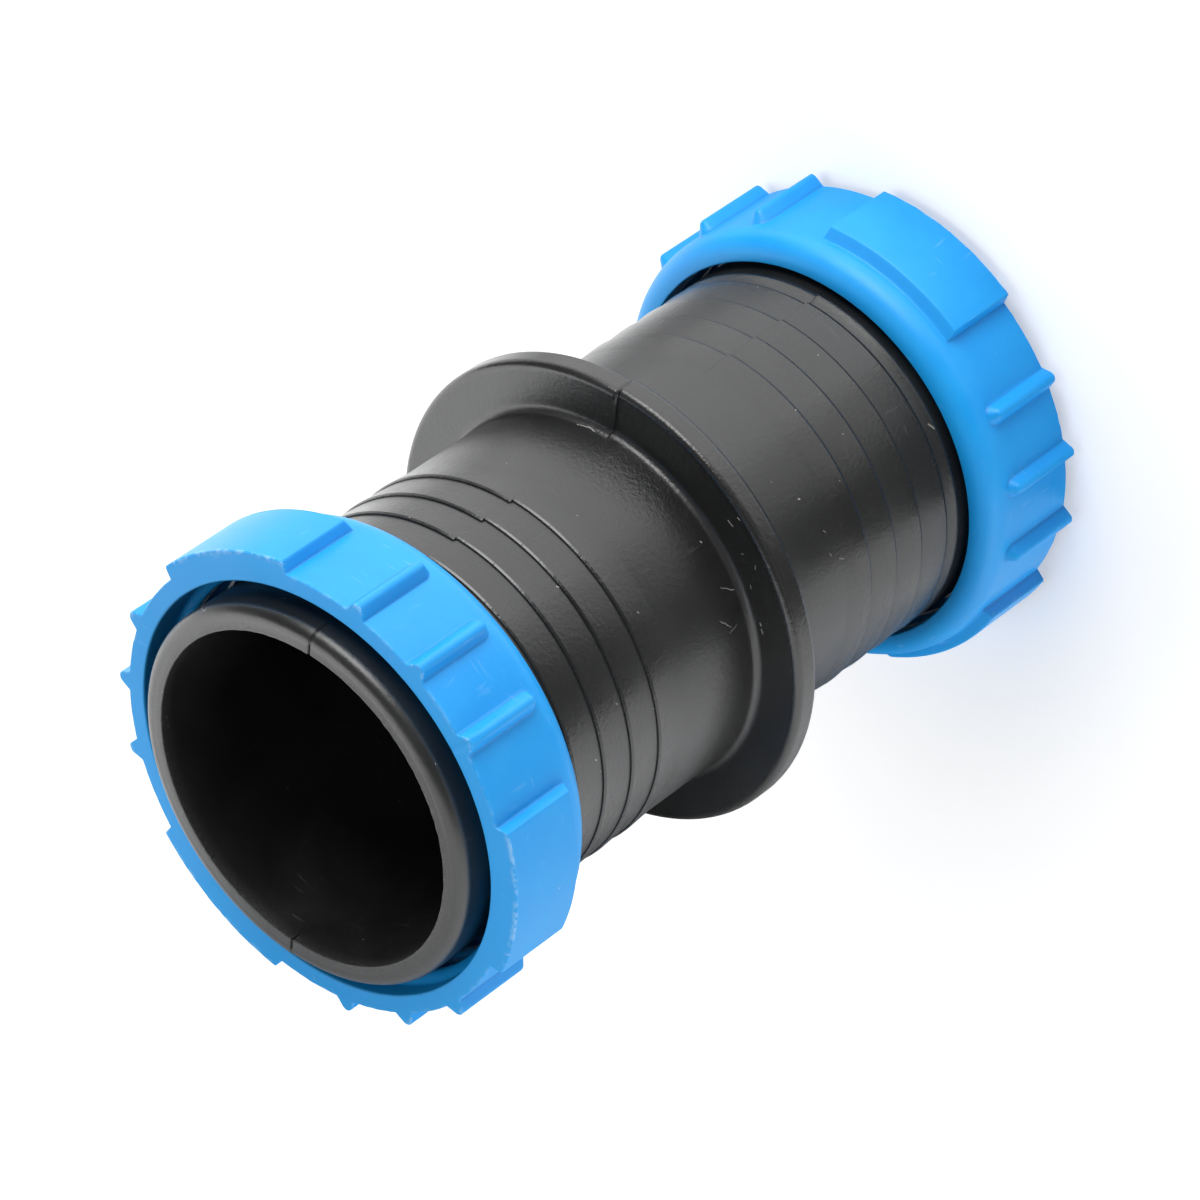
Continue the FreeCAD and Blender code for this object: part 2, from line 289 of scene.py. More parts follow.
def coupling_outline(s):
    """Half section of the coupling in mm, about the middle of its flange."""
    bore, crest, land = s.bore / MM, s.crest / MM, s.land / MM
    rim, half, gap = s.rim / MM, s.flange / MM / 2, s.parting_gap / MM
    ragged, notch = 0.05, 0.12

    # The face lies lower than the reach by as much as its ragged edge rises.
    face = s.reach / MM - ragged
    mouth = [(bore, face, 0.14, 0.2, gap, 1, 0, 0.6)]
    for out, cut in ((0.35, 1), (0.75, 1), (1.15, 0.6), (1.45, 0.2)):
        mouth.append((bore + out, face, 0, 0.2, gap, cut, 0, 0))
    mouth.append((crest, face, s.mouth_round / MM, 0.2, notch, 0, 0, 0))
    flange = [
        (land, half, s.root / MM, *PLAIN),
        (rim - 1.3, half, 0, *PLAIN),
        (rim, half, s.rim_round / MM, 1, notch, 0, 0, 0.7),
    ]

    # The far side's painted shade at the ring feet reaches further out, where it shows past the
    # crests.
    near = mouth + ringed_side(s, 0.12, False) + flange
    far = mouth + ringed_side(s, 0.40, True) + flange
    return near + [(c[0], -c[1], *c[2:]) for c in reversed(far)]


def skin_coupling(s, material):
    """Mesh of the coupling, with the marks that its finish reads."""
    bore, reach = s.bore / MM, s.reach / MM
    points, marks = eased(coupling_outline(s))
    in_bore = points[:, 0] < bore + 1e-6
    marks[in_bore & (np.abs(points[:, 1]) < reach - 0.5)] = 0.0

    # Away from the mouths the plain bore needs only every fourth row.
    few = in_bore & (np.abs(points[:, 1]) < 50)
    keep = np.ones(len(points), bool)
    keep[few] = np.arange(few.sum()) % 4 == 0
    points, marks = points[keep], marks[keep]

    # Columns close up at the two parting lines and at the faint line of an insert.
    turns = set(np.round(np.arange(-180, 180, 1.5), 3))
    close = (0.03, 0.12, 0.26, 0.40, 0.62)
    for line in (0.0, 180.0):
        turns |= {round(around(line + d), 3) for c in close for d in (-c, c)}
    turns -= {0.0, -180.0}
    insert = -13.3
    turns |= {insert + d for d in (-0.5, -0.22, -0.08, 0.08, 0.22, 0.5)}
    turn = np.array(sorted(turns))

    r, z = points[:, :1], points[:, 1:2]
    share, gap, cut, foot, edge = (marks[:, i:i + 1] for i in range(5))
    ahead = np.roll(points, -1, 0) - np.roll(points, 1, 0)
    ahead /= np.linalg.norm(ahead, axis=1)[:, None]
    out_r, out_z = -ahead[:, 1:2], ahead[:, :1]

    from_parting = np.minimum(np.abs(turn), 180 - np.abs(turn))[None, :]
    half = np.where(turn > 0, 1.0, -1.0)[None, :] * np.clip(from_parting / 0.03, 0, 1)
    sink = gap * (1 - soft_step(from_parting, 0.10, 0.42))

    # The insert's line shows along the near spigot, broken here and there.
    height = reach + z
    near = soft_step(height, 58, 60) * (1 - soft_step(height, 96, 98))
    at_insert = 1 - soft_step(np.abs(turn - insert)[None, :], 0.06, 0.24)
    broken = np.clip(0.6 + 0.9 * waver(height[:, 0] * 7.2, 15, 40)[:, None], 0, 1)
    at_insert = at_insert * near * (out_r > 0.9) * broken
    sink = sink + 0.02 * at_insert

    # The bore's edge is ragged from the cut, most of all round one turn.
    raggedest, spreading = -62, 45.0
    worst = np.exp(-(around(turn - raggedest) / spreading) ** 2)[None, :]
    rag = waver(turn, 4, 70, 20)[None, :] * (0.01 + 0.025 * worst)
    lip = edge * cut
    sink = sink + np.clip(rag, -0.05, 0.2) * (lip > 0.55)
    sink = sink + 0.01 * waver(turn, 9, 50)[None, :] * cut

    shift = share * half * s.mould_shift / MM / 2
    radius = r - out_r * sink
    up = np.clip(z + shift - out_z * sink + reach, 0, 2 * reach)
    angle = np.radians(turn)[None, :]
    grid = np.stack([radius * np.cos(angle), radius * np.sin(angle),
                     np.broadcast_to(up, radius.shape)], -1)
    outside = (r > bore + 0.3) | (np.abs(z) > reach - 0.4)
    seam = (1 - soft_step(from_parting, 0.1, 0.4)) * np.clip(gap * 4, 0, 1)
    seam = np.clip(seam + 0.28 * at_insert, 0, 1) * outside
    grit = cut * (1 - soft_step(r - bore, 0.5, 1.1)) * (0.45 + 0.55 * worst)

    # The mould is eroded round one place beside the flange.
    eroded_turn, eroded_height = -15, 61
    eroded = np.exp(-((turn - eroded_turn) / 15.0) ** 2)[None, :]
    eroded = eroded * np.exp(-((height - eroded_height) / 6.0) ** 2)
    return closed_skin("coupling_shell", grid, {
        "ring_foot_shade": foot, "worn_edge": edge, "parting": seam, "grit": grit,
        "eroded": eroded,
    }, material)


# the grip nut

PADS = (0.0, 120.0, -120.0)
RIB_GROUPS = (60.0, 180.0, -60.0)


def rib_turns(s):
    """Degrees round the nut of the middle of each rib."""
    spacing = math.degrees(s.rib_turn)
    return [group + k * spacing for group in RIB_GROUPS for k in (-1, 0, 1)]


def grip_height(s, turn, z):
    """How far the pads and ribs stand above the nut's plain outside, in mm."""
    plain, high = s.plain / MM, s.grip / MM
    turn, z = np.broadcast_arrays(turn, z)
    best = np.zeros(turn.shape)

    # A pad rises over its side's run or its end's run, rounded at corner, foot and top.
    side_run, end_run = 0.55, 0.85
    corner, foot, top = 0.4, 0.16, 0.45
    full = 1 - top * 0.25
    for pad in PADS:
        away = np.abs(around(turn - pad))
        u = (math.degrees(s.pad_turn) / 2 - away) * math.pi / 180 * (plain + high / 2)
        v = s.pad_length / MM - z
        wall = soft_low(u / side_run, v / end_run, corner)
        wall = soft_high(wall, 0 * wall, foot)
        wall = soft_low(wall, 1 + 0 * wall, top)
        best = np.maximum(best, wall * high / full)

    # A rib has a round crown on leaning sides and ends in a round nose.
    tip, crown_half, fall = 0.75, 0.636, 0.53
    lean, foot, edge, nose_length = 0.625, 0.1, 2.2, 1.4
    nose = s.rib_length / MM - nose_length
    for at in rib_turns(s):
        y = around(turn - at) * math.pi / 180 * (plain + high / 2)
        d = np.hypot(y, np.clip(z - nose, 0, None))
        crown = high - tip + np.sqrt(np.clip(tip ** 2 - d ** 2, 0, None))
        side = high - tip + tip * fall - (d - crown_half) / lean
        rib = np.where(d < crown_half, crown, side)
        rib = soft_high(rib, 0 * rib, foot)
        best = np.maximum(best, np.where(d > edge, 0, rib))
    return np.clip(best, 0, high)


def nut_columns(s):
    """Angles of the nut's columns, close together where pads and ribs rise."""
    mid = (s.plain + s.grip / 2) / MM
    half_pad = math.degrees(s.pad_turn) / 2
    busy = []
    for pad in PADS:
        busy.append((pad - half_pad, -0.45, 1.15, 0.11))
        busy.append((pad + half_pad, -1.15, 0.45, 0.11))
    for rib in rib_turns(s):
        busy.append((rib, -1.85, 1.85, 0.17))
    turns, taken = [], []
    for at, low, high, step in busy:
        for d in np.arange(low, high + 1e-6, step):
            turns.append(around(at + math.degrees(d / mid)))
        taken.append((at + math.degrees(low / mid), at + math.degrees(high / mid)))
    for t in np.arange(-180, 180, 1.5):
        if not any(around(t - low) > -0.5 and around(high - t) > -0.5
                   and abs(around(t - (low + high) / 2)) < 20 for low, high in taken):
            turns.append(t)
    return np.array(sorted(turns))


# Stretches of the nut's section, in the order of its rows.
BACK, OUTSIDE, FRONT_EDGE, FRONT, INNER_EDGE, INSIDE = range(6)
BACK_EDGE = 0.2
INNER_ROUND = 0.25


def nut_rows(s):
    """Rows round the nut's section: radius and height in mm, stretch, share of stretch.

    The front edge and the front face get their places in skin_nut, from the grips.
    """
    bore, root = s.bore / MM, s.thread_root / MM
    plain, length, shoulder = s.plain / MM, s.length / MM, s.shoulder / MM
    rows = []
    for k in range(5):
        t = math.radians(180 - 90 * k / 4)
        rows.append((bore + BACK_EDGE + BACK_EDGE * math.cos(t),
                     length - BACK_EDGE + BACK_EDGE * math.sin(t), BACK, 0))
    rows.append((bore + 0.3, length, BACK, 0))
    rows.append((plain - shoulder - 0.06, length, BACK, 0))
    for k in range(13):
        t = math.radians(90 - 90 * k / 12)
        rows.append((plain - shoulder + shoulder * math.cos(t),
                     length - shoulder + shoulder * math.sin(t), OUTSIDE, 0))

    # Rows lie close where the pads and ribs end, and wide over their length.
    for z in np.concatenate([np.arange(length - shoulder - 0.12, 9.8, -0.13),
                             np.linspace(9.6, 0.55, 9), [0.3]]):
        rows.append((plain, z, OUTSIDE, 0))
    rows += [(0, 0, FRONT_EDGE, k / 4) for k in range(5)]
    rows += [(0, 0, FRONT, t) for t in (0.03, 0.15, 0.4, 0.7, 0.92, 0.98)]
    for k in range(5):
        t = math.radians(90 * k / 4)
        rows.append((root + INNER_ROUND - INNER_ROUND * math.sin(t),
                     INNER_ROUND - INNER_ROUND * math.cos(t), INNER_EDGE, 0))
    for z in np.concatenate([np.arange(0.5, 12.6, 0.27), [13.2, 14.0, length - 0.3]]):
        rows.append((root, z, INSIDE, 0))
    return np.array(rows, float)


def skin_nut(name, s, front, turned, over, seed, nicks, material):
    """Grip nut drawn with its front face at height 0 and its back above it."""
    turn = nut_columns(s)
    bore, root, plain = s.bore / MM, s.thread_root / MM, s.plain / MM
    angle = turn[None, :]
    r, z, kind, t = (column[:, None] for column in nut_rows(s).T)
    r, z = r + 0 * angle, z + 0 * angle

    raised = grip_height(s, angle, z)
    r = r + np.where(kind == OUTSIDE, raised, 0)
    outer = plain + grip_height(s, angle, 0 * angle)
    rag = 0.045 * waver(turn, seed, 60, 8)[None, :]
    rag = rag + 0.03 * waver(turn, seed + 1, 90, 60)[None, :]
    ease = 0.20 + np.clip(rag, -0.12, 0.25)
    edge_r = outer - ease * (1 - np.cos(t * math.pi / 2))
    edge_z = ease * (1 - np.sin(t * math.pi / 2))
    r = np.where(kind == FRONT_EDGE, edge_r, r)
    z = np.where(kind == FRONT_EDGE, edge_z, z)
    inner = root + INNER_ROUND
    r = np.where(kind == FRONT, (outer - ease) + (inner - outer + ease) * t, r)
    z = np.where(kind == FRONT, 0, z)

    # Coarse thread: crests at the bore's radius, roots as wide as the front bore.
    phase = (z / (s.thread_pitch / MM) - angle / 360.0 + 0.15) % 1.0
    crest = soft_step(phase, 0.10, 0.28) * (1 - soft_step(phase, 0.52, 0.70))
    inside = crest * soft_step(z, 2.2, 3.8)
    inside = np.maximum(inside, soft_step(z, 11.4, 12.6))
    r = np.where(kind == INSIDE, root + (bore - root) * inside, r)

    for at, height, size, deep in nicks:
        away = np.hypot(around(angle - at) * math.pi / 180 * plain, z - height)
        dip = deep * np.exp(-(away / size) ** 2)
        r = r - dip * np.isin(kind, (OUTSIDE, FRONT_EDGE, FRONT))
        z = z + 0.5 * dip * np.isin(kind, (FRONT_EDGE, FRONT))

    swell = grip_height(s, angle, z)
    slope = np.abs(np.gradient(swell, np.radians(turn) * plain, axis=1))
    raised_end = 0.3 + 0.7 * soft_step(outer - plain, 0.2, 0.8)
    side = np.where(kind == OUTSIDE, np.clip(slope, 0, 1), 0.0)
    face = np.where((kind == FRONT) | (kind == INNER_EDGE), 1.0, 0.0)
    worn = np.where(kind == FRONT_EDGE, 1.0, 0.0)
    worn = worn + np.where((kind == FRONT) & (t < 0.1), 0.7, 0.0)
    marks = {
        "front_face": face + np.where(kind == FRONT_EDGE, t, 0.0) + 0 * angle,
        "worn_edge": worn * raised_end,
        # Painted shade on the grips' sloping sides.
        "grip_slope_shade": side,
        # Painted shade at the foot of the pads and ribs.
        "grip_foot_shade": side * (1 - soft_step(raised, 0.05, 0.4)),
    }

    a = np.radians(angle)
    grid = np.stack([r * np.cos(a), r * np.sin(a), z + 0 * a], -1)
    place = Matrix.Rotation(turned, 3, "Z") @ (
        Matrix.Rotation(math.pi, 3, "X") if over else Matrix.Identity(3))
    grid = grid @ np.array(place).T
    grid[..., 2] += front / MM
    return closed_skin(name, grid, marks, material)


# finishes

def add(tree, kind, inputs=None, **settings):
    """Node of that kind; inputs are values or sockets by name or number."""
    node = tree.nodes.new(kind)
    for word, value in settings.items():
        setattr(node, word, value)
    for word, value in (inputs or {}).items():
        socket = node.inputs[word]
        if isinstance(value, bpy.types.NodeSocket):
            tree.links.new(value, socket)
        else:
            socket.default_value = value
    return node


def use(tree, group, inputs):
    """Node that runs a shared group."""
    return add(tree, "ShaderNodeGroup", inputs, node_tree=group)


def sums(tree, operation, a, b=None, c=None, clamp=False):
    """Result of a sum with up to three values or sockets."""
    inputs = {k: value for k, value in enumerate((a, b, c)) if value is not None}
    return add(tree, "ShaderNodeMath", inputs, operation=operation,
               use_clamp=clamp).outputs[0]


def vector(tree, operation, a, b=None, scale=None):
    """Result of a sum with vectors."""
    inputs = {k: value for k, value in ((0, a), (1, b), (3, scale)) if value is not None}
    node = add(tree, "ShaderNodeVectorMath", inputs, operation=operation)
    return node.outputs[1 if operation in ("DOT_PRODUCT", "LENGTH") else 0]


def noise(tree, place, scale, detail=2.0, **more):
    """Value of a noise over the place; more holds the node's other inputs."""
    inputs = {"Vector": place, "Scale": scale, "Detail": detail, **more}
    return add(tree, "ShaderNodeTexNoise", inputs).outputs[0]


def blend(tree, share, a, b):
    """Colour a turning into colour b with the share."""
    if not isinstance(a, bpy.types.NodeSocket):
        a = (*a, 1.0)
    if not isinstance(b, bpy.types.NodeSocket):
        b = (*b, 1.0)
    return add(tree, "ShaderNodeMix", {0: share, 6: a, 7: b}, data_type="RGBA").outputs[2]


def spread(tree, value, low, high, to_low=0.0, to_high=1.0):
    """Value moved from one range to another and held inside it."""
    return add(tree, "ShaderNodeMapRange",
               {0: value, 1: low, 2: high, 3: to_low, 4: to_high}).outputs[0]


def new_group(name, inputs, outputs):
    """Empty node group with its two ends."""
    tree = bpy.data.node_groups.new(name, "ShaderNodeTree")
    for word, kind, value in inputs:
        socket = tree.interface.new_socket(word, in_out="INPUT", socket_type=kind)
        if value is not None:
            socket.default_value = value
    for word, kind in outputs:
        tree.interface.new_socket(word, in_out="OUTPUT", socket_type=kind)
    enter = tree.nodes.new("NodeGroupInput")
    leave = tree.nodes.new("NodeGroupOutput")
    return tree, enter, leave


def place_mm(tree, enter):
    """Place on the part, in mm, from the group's Place input."""
    return vector(tree, "SCALE", enter.outputs["Place"], scale=1 / MM)


def moulded_grain():
    """Fine spark-eroded grain of the mould, with a slow change of gloss over it."""
    tree, enter, leave = new_group("Moulded grain", [
        ("Place", "NodeSocketVector", None),
        ("Grain size", "NodeSocketFloat", 0.25),
        ("Patch size", "NodeSocketFloat", 9.0)], [
        ("Height", "NodeSocketFloat"), ("Gloss", "NodeSocketFloat")])
    place = place_mm(tree, enter)
    fine = sums(tree, "DIVIDE", 1.0, enter.outputs["Grain size"])
    slow = sums(tree, "DIVIDE", 1.0, enter.outputs["Patch size"])
    pits = noise(tree, place, fine, 2.0, Roughness=0.6)
    orange = noise(tree, place, sums(tree, "MULTIPLY", fine, 0.35), 1.0)
    height = sums(tree, "MULTIPLY_ADD", orange, 0.6, sums(tree, "MULTIPLY", pits, 0.4))
    tree.links.new(height, leave.inputs["Height"])
    patch = noise(tree, place, slow, 3.0, Roughness=0.55, Distortion=0.4)
    tree.links.new(spread(tree, patch, 0.3, 0.7), leave.inputs["Gloss"])
    return tree


def handling_scuffs():
    """Thin rubs and scratches from handling, mostly round the part."""
    tree, enter, leave = new_group("Handling scuffs", [
        ("Place", "NodeSocketVector", None),
        ("Amount", "NodeSocketFloat", 0.5)], [("Mask", "NodeSocketFloat")])
    place = place_mm(tree, enter)
    masks = []
    for stretch, scale, low, turn in (
            ((0.10, 0.10, 1.0), 2.6, 0.70, (0.0, 0.0, 0.0)),
            ((1.0, 0.14, 0.12), 1.9, 0.72, (0.5, 0.9, 0.3)),
            ((0.6, 0.6, 0.07), 2.2, 0.73, (0.2, 0.1, 0.7))):
        mapping = add(tree, "ShaderNodeMapping", {
            "Vector": place, "Scale": stretch, "Rotation": turn})
        lines = noise(tree, mapping.outputs[0], scale, 1.0, Distortion=0.2)
        masks.append(spread(tree, lines, low, low + 0.07))
    where = spread(tree, noise(tree, place, 0.09), 0.42, 0.66)
    total = sums(tree, "MAXIMUM", sums(tree, "MAXIMUM", masks[0], masks[1]), masks[2])
    total = sums(tree, "MULTIPLY", total, where)
    total = sums(tree, "MULTIPLY", total, enter.outputs["Amount"], clamp=True)
    tree.links.new(total, leave.inputs["Mask"])
    return tree


def dust_specks():
    """Sparse small specks, gathered in some places more than in others."""
    tree, enter, leave = new_group("Dust specks", [
        ("Place", "NodeSocketVector", None),
        ("Spacing", "NodeSocketFloat", 1.6),
        ("Speck size", "NodeSocketFloat", 0.09),
        ("Share", "NodeSocketFloat", 0.25)], [("Mask", "NodeSocketFloat")])
    place = place_mm(tree, enter)
    scale = sums(tree, "DIVIDE", 1.0, enter.outputs["Spacing"])
    wobble = add(tree, "ShaderNodeTexNoise", {"Vector": place, "Scale": 5.0}).outputs[1]
    bent = vector(tree, "ADD", vector(tree, "SCALE", wobble, scale=0.16), place)
    cells = add(tree, "ShaderNodeTexVoronoi", {"Vector": bent, "Scale": scale})
    chance = add(tree, "ShaderNodeSeparateColor", {0: cells.outputs["Color"]})
    reach = sums(tree, "MULTIPLY", enter.outputs["Speck size"], scale)
    reach = sums(tree, "MULTIPLY", reach, spread(tree, chance.outputs[1], 0, 1, 0.5, 1.2))
    speck = sums(tree, "LESS_THAN", cells.outputs["Distance"], reach)
    picked = sums(tree, "LESS_THAN", chance.outputs[0], enter.outputs["Share"])
    tree.links.new(sums(tree, "MULTIPLY", speck, picked), leave.inputs["Mask"])
    return tree


def lint_curl():
    """One curled fibre: part of a thin circle lying on the surface."""
    tree, enter, leave = new_group("Lint curl", [
        ("Place", "NodeSocketVector", None),
        ("Centre", "NodeSocketVector", (0.0, 0.0, 0.0)),
        ("Radius", "NodeSocketFloat", 0.8),
        ("Width", "NodeSocketFloat", 0.05),
        ("Opening", "NodeSocketVector", (0.0, 0.0, 1.0)),
        ("Reach", "NodeSocketFloat", 0.2)], [("Mask", "NodeSocketFloat")])
    place = place_mm(tree, enter)
    wobble = noise(tree, place, 1.4, 0.0)
    away = vector(tree, "SUBTRACT", place, enter.outputs["Centre"])
    far = vector(tree, "LENGTH", away)
    far = sums(tree, "ADD", far, spread(tree, wobble, 0.3, 0.7, -0.22, 0.22))
    off = sums(tree, "ABSOLUTE", sums(tree, "SUBTRACT", far, enter.outputs["Radius"]))
    line = sums(tree, "LESS_THAN", off, enter.outputs["Width"])
    side = vector(tree, "DOT_PRODUCT", away, enter.outputs["Opening"])
    part = sums(tree, "GREATER_THAN", side, enter.outputs["Reach"])
    tree.links.new(sums(tree, "MULTIPLY", line, part), leave.inputs["Mask"])
    return tree


def fibre():
    """One short fibre or crumb: a thin wavy line from one place to another."""
    tree, enter, leave = new_group("Fibre", [
        ("Place", "NodeSocketVector", None),
        ("From", "NodeSocketVector", (0.0, 0.0, 0.0)),
        ("To", "NodeSocketVector", (1.0, 0.0, 0.0)),
        ("Facing", "NodeSocketVector", (0.0, 0.0, 1.0)),
        ("Width", "NodeSocketFloat", 0.05),
        ("Bend", "NodeSocketFloat", 0.3)], [("Mask", "NodeSocketFloat")])
    place = place_mm(tree, enter)
    start, facing = enter.outputs["From"], enter.outputs["Facing"]
    wobble = add(tree, "ShaderNodeTexNoise", {
        "Vector": place, "Scale": 1.1, "Detail": 1.0}).outputs[1]
    wobble = vector(tree, "SUBTRACT", wobble, (0.5, 0.5, 0.5))
    wobble = vector(tree, "SCALE", wobble, scale=enter.outputs["Bend"])
    place = vector(tree, "ADD", place, wobble)
    along = vector(tree, "SUBTRACT", enter.outputs["To"], start)
    away = vector(tree, "SUBTRACT", place, start)
    share = sums(tree, "DIVIDE", vector(tree, "DOT_PRODUCT", away, along),
                 vector(tree, "DOT_PRODUCT", along, along), clamp=True)
    off = vector(tree, "SUBTRACT", away, vector(tree, "SCALE", along, scale=share))
    deep = vector(tree, "DOT_PRODUCT", off, facing)
    off = vector(tree, "SUBTRACT", off, vector(tree, "SCALE", facing, scale=deep))
    line = sums(tree, "LESS_THAN", vector(tree, "LENGTH", off), enter.outputs["Width"])
    close = sums(tree, "LESS_THAN", sums(tree, "ABSOLUTE", deep), 0.9)
    tree.links.new(sums(tree, "MULTIPLY", line, close), leave.inputs["Mask"])
    return tree


def shared_groups():
    """The shared groups by name, each made at its first use."""
    groups = {}
    for name, make in (("Moulded grain", moulded_grain), ("Handling scuffs", handling_scuffs),
                       ("Dust specks", dust_specks), ("Lint curl", lint_curl),
                       ("Fibre", fibre)):
        groups[name] = bpy.data.node_groups.get(name) or make()
    return groups


def start_finish(name):
    """New material, its node tree and its Principled node."""
    material = bpy.data.materials.new(name)
    material.use_nodes = True
    tree = material.node_tree
    return material, tree, tree.nodes["Principled BSDF"]


def own_place(tree):
    """Place on the object, in metres."""
    return add(tree, "ShaderNodeTexCoord").outputs["Object"]


def worn_and_handled(tree, place, groups, patch, amount, spacing, speck, share):
    """Grain, scuffs and dust that both plastics carry."""
    grain = use(tree, groups["Moulded grain"], {
        "Place": place, "Grain size": 0.22, "Patch size": patch})
    scuffs = use(tree, groups["Handling scuffs"], {"Place": place, "Amount": amount})
    dust = use(tree, groups["Dust specks"], {
        "Place": place, "Spacing": spacing, "Speck size": speck, "Share": share})
    return grain, scuffs.outputs[0], dust.outputs[0]


def marks(tree, *words):
    """Values that the mesh carries under those words."""
    return [add(tree, "ShaderNodeAttribute", attribute_name=word).outputs["Fac"]
            for word in words]


def black_plastic(colours, groups):
    """Satin black moulding with grain, gritty cut faces, painted shade at the ring feet and lint."""
    material, tree, skin = start_finish("Black moulded plastic")
    place = own_place(tree)
    grain, scuffs, dust = worn_and_handled(
        tree, place, groups, patch=11.0, amount=0.55, spacing=1.5, speck=0.075, share=0.13)
    foot, edge, seam, grit, eroded = marks(
        tree, "ring_foot_shade", "worn_edge", "parting", "grit", "eroded")
    black = tuple(colours.black)
    pale = tuple(1.7 * v for v in black)
    colour = blend(tree, grain.outputs["Gloss"], black, pale)
    colour = blend(tree, sums(tree, "MULTIPLY", scuffs, 0.5), colour, (0.09, 0.09, 0.088))
    gritty = noise(tree, place, 3300.0, 3.0, Roughness=0.7)
    sawn = blend(tree, spread(tree, gritty, 0.35, 0.65),
                 tuple(0.35 * v for v in colours.sawn), tuple(1.9 * v for v in colours.sawn))
    colour = blend(tree, grit, colour, sawn)
    # Painted shade: the ring feet are darkened to near black, and so are the parting lines, which are
    # dark joints.
    colour = blend(tree, sums(tree, "MAXIMUM", foot, seam), colour, (0.003, 0.003, 0.003))
    colour = blend(tree, dust, colour, tuple(colours.lint))
    lint = use(tree, groups["Lint curl"], {
        "Place": place, "Centre": CURL_CENTRE, "Radius": 0.75, "Width": 0.045,
        "Opening": (0.0, 0.6, 0.8), "Reach": -0.1}).outputs[0]
    for start, stop, facing, width, bend, strength in FIBRES:
        line = use(tree, groups["Fibre"], {
            "Place": place, "From": spot(*start), "To": spot(*stop),
            "Facing": (0, 0, 1) if facing == "up" else spot(start[0], 1.0, 0.0),
            "Width": width, "Bend": bend}).outputs[0]
        lint = sums(tree, "MAXIMUM", lint, sums(tree, "MULTIPLY", line, strength))
    colour = blend(tree, sums(tree, "MULTIPLY", lint, 0.8), colour, tuple(colours.lint))
    tree.links.new(colour, skin.inputs["Base Color"])
    rough = spread(tree, grain.outputs["Gloss"], 0, 1, 0.30, 0.38)
    rough = sums(tree, "MULTIPLY_ADD", scuffs, 0.2, rough)
    rough = sums(tree, "MULTIPLY_ADD", grit, 0.30, rough)
    rough = sums(tree, "MULTIPLY_ADD", edge, -0.10, rough)
    # The painted shade at the ring feet is also made rough.
    rough = sums(tree, "MAXIMUM", rough, sums(tree, "MULTIPLY", foot, 0.9))
    rough = sums(tree, "MAXIMUM", rough, sums(tree, "MULTIPLY", dust, 0.9), clamp=True)
    tree.links.new(rough, skin.inputs["Roughness"])
    skin.inputs["Specular IOR Level"].default_value = 1.0
    height = sums(tree, "MULTIPLY", grain.outputs["Height"],
                  spread(tree, eroded, 0, 1, 1.0, 2.4))
    bump = add(tree, "ShaderNodeBump", {
        "Height": height, "Strength": 0.7, "Distance": 0.00007})
    bump = add(tree, "ShaderNodeBump", {
        "Height": sums(tree, "MULTIPLY", gritty, grit), "Strength": 0.8,
        "Distance": 0.00030, "Normal": bump.outputs[0]})
    tree.links.new(bump.outputs[0], skin.inputs["Normal"])
    return material


def blue_plastic(colours, groups):
    """Satin blue moulding, chalky on its front face and along its edges, with painted shade on the
    grips' sloping sides and at their feet.
    """
    material, tree, skin = start_finish("Blue moulded plastic")
    place = own_place(tree)
    grain, scuffs, dust = worn_and_handled(
        tree, place, groups, patch=7.0, amount=0.5, spacing=3.1, speck=0.09, share=0.07)
    front, edge, side, foot = marks(
        tree, "front_face", "worn_edge", "grip_slope_shade", "grip_foot_shade")
    blue = tuple(colours.blue)
    chalky = tuple(colours.chalky)
    deep = (blue[0] * 0.7, blue[1] * 0.90, blue[2] * 0.96)
    milky = tuple(0.88 * a + 0.12 * b for a, b in zip(blue, chalky))
    colour = blend(tree, grain.outputs["Gloss"], deep, milky)
    # Painted shade: the grips' sloping sides are drawn a deeper blue.
    colour = blend(tree, sums(tree, "MULTIPLY", side, 0.25), colour, deep)
    shaded = (blue[0] * 0.4, blue[1] * 0.42, blue[2] * 0.6)
    # Painted shade: the grips' feet are drawn in a shaded blue.
    colour = blend(tree, sums(tree, "MULTIPLY", foot, 0.6), colour, shaded)
    colour = blend(tree, sums(tree, "MULTIPLY", front, 0.55), colour, chalky)
    ragged = noise(tree, place, 900.0, 3.0, Roughness=0.6)
    worn = sums(tree, "MULTIPLY", edge, spread(tree, ragged, 0.46, 0.60), clamp=True)
    colour = blend(tree, sums(tree, "MULTIPLY", worn, 0.6), colour, (0.32, 0.60, 0.92))
    colour = blend(tree, sums(tree, "MULTIPLY", scuffs, 0.5), colour, (0.30, 0.58, 0.90))
    colour = blend(tree, sums(tree, "MULTIPLY", dust, 0.8), colour, (0.62, 0.66, 0.70))
    tree.links.new(colour, skin.inputs["Base Color"])
    rough = spread(tree, grain.outputs["Gloss"], 0, 1, 0.38, 0.47)
    rough = sums(tree, "MULTIPLY_ADD", front, 0.10, rough)
    rough = sums(tree, "MULTIPLY_ADD", scuffs, 0.15, rough, clamp=True)
    tree.links.new(rough, skin.inputs["Roughness"])
    skin.inputs["Specular IOR Level"].default_value = 0.5
    bump = add(tree, "ShaderNodeBump", {
        "Height": grain.outputs["Height"], "Strength": 0.5, "Distance": 0.00004})
    bump = add(tree, "ShaderNodeBump", {
        "Height": sums(tree, "MULTIPLY", ragged, edge), "Strength": 0.5,
        "Distance": 0.0001, "Normal": bump.outputs[0]})
    tree.links.new(bump.outputs[0], skin.inputs["Normal"])
    return material


# Middle of the one curled fibre, in mm. It lies on the near mouth.
CURL_CENTRE = (18.6, 16.9, 108.1)

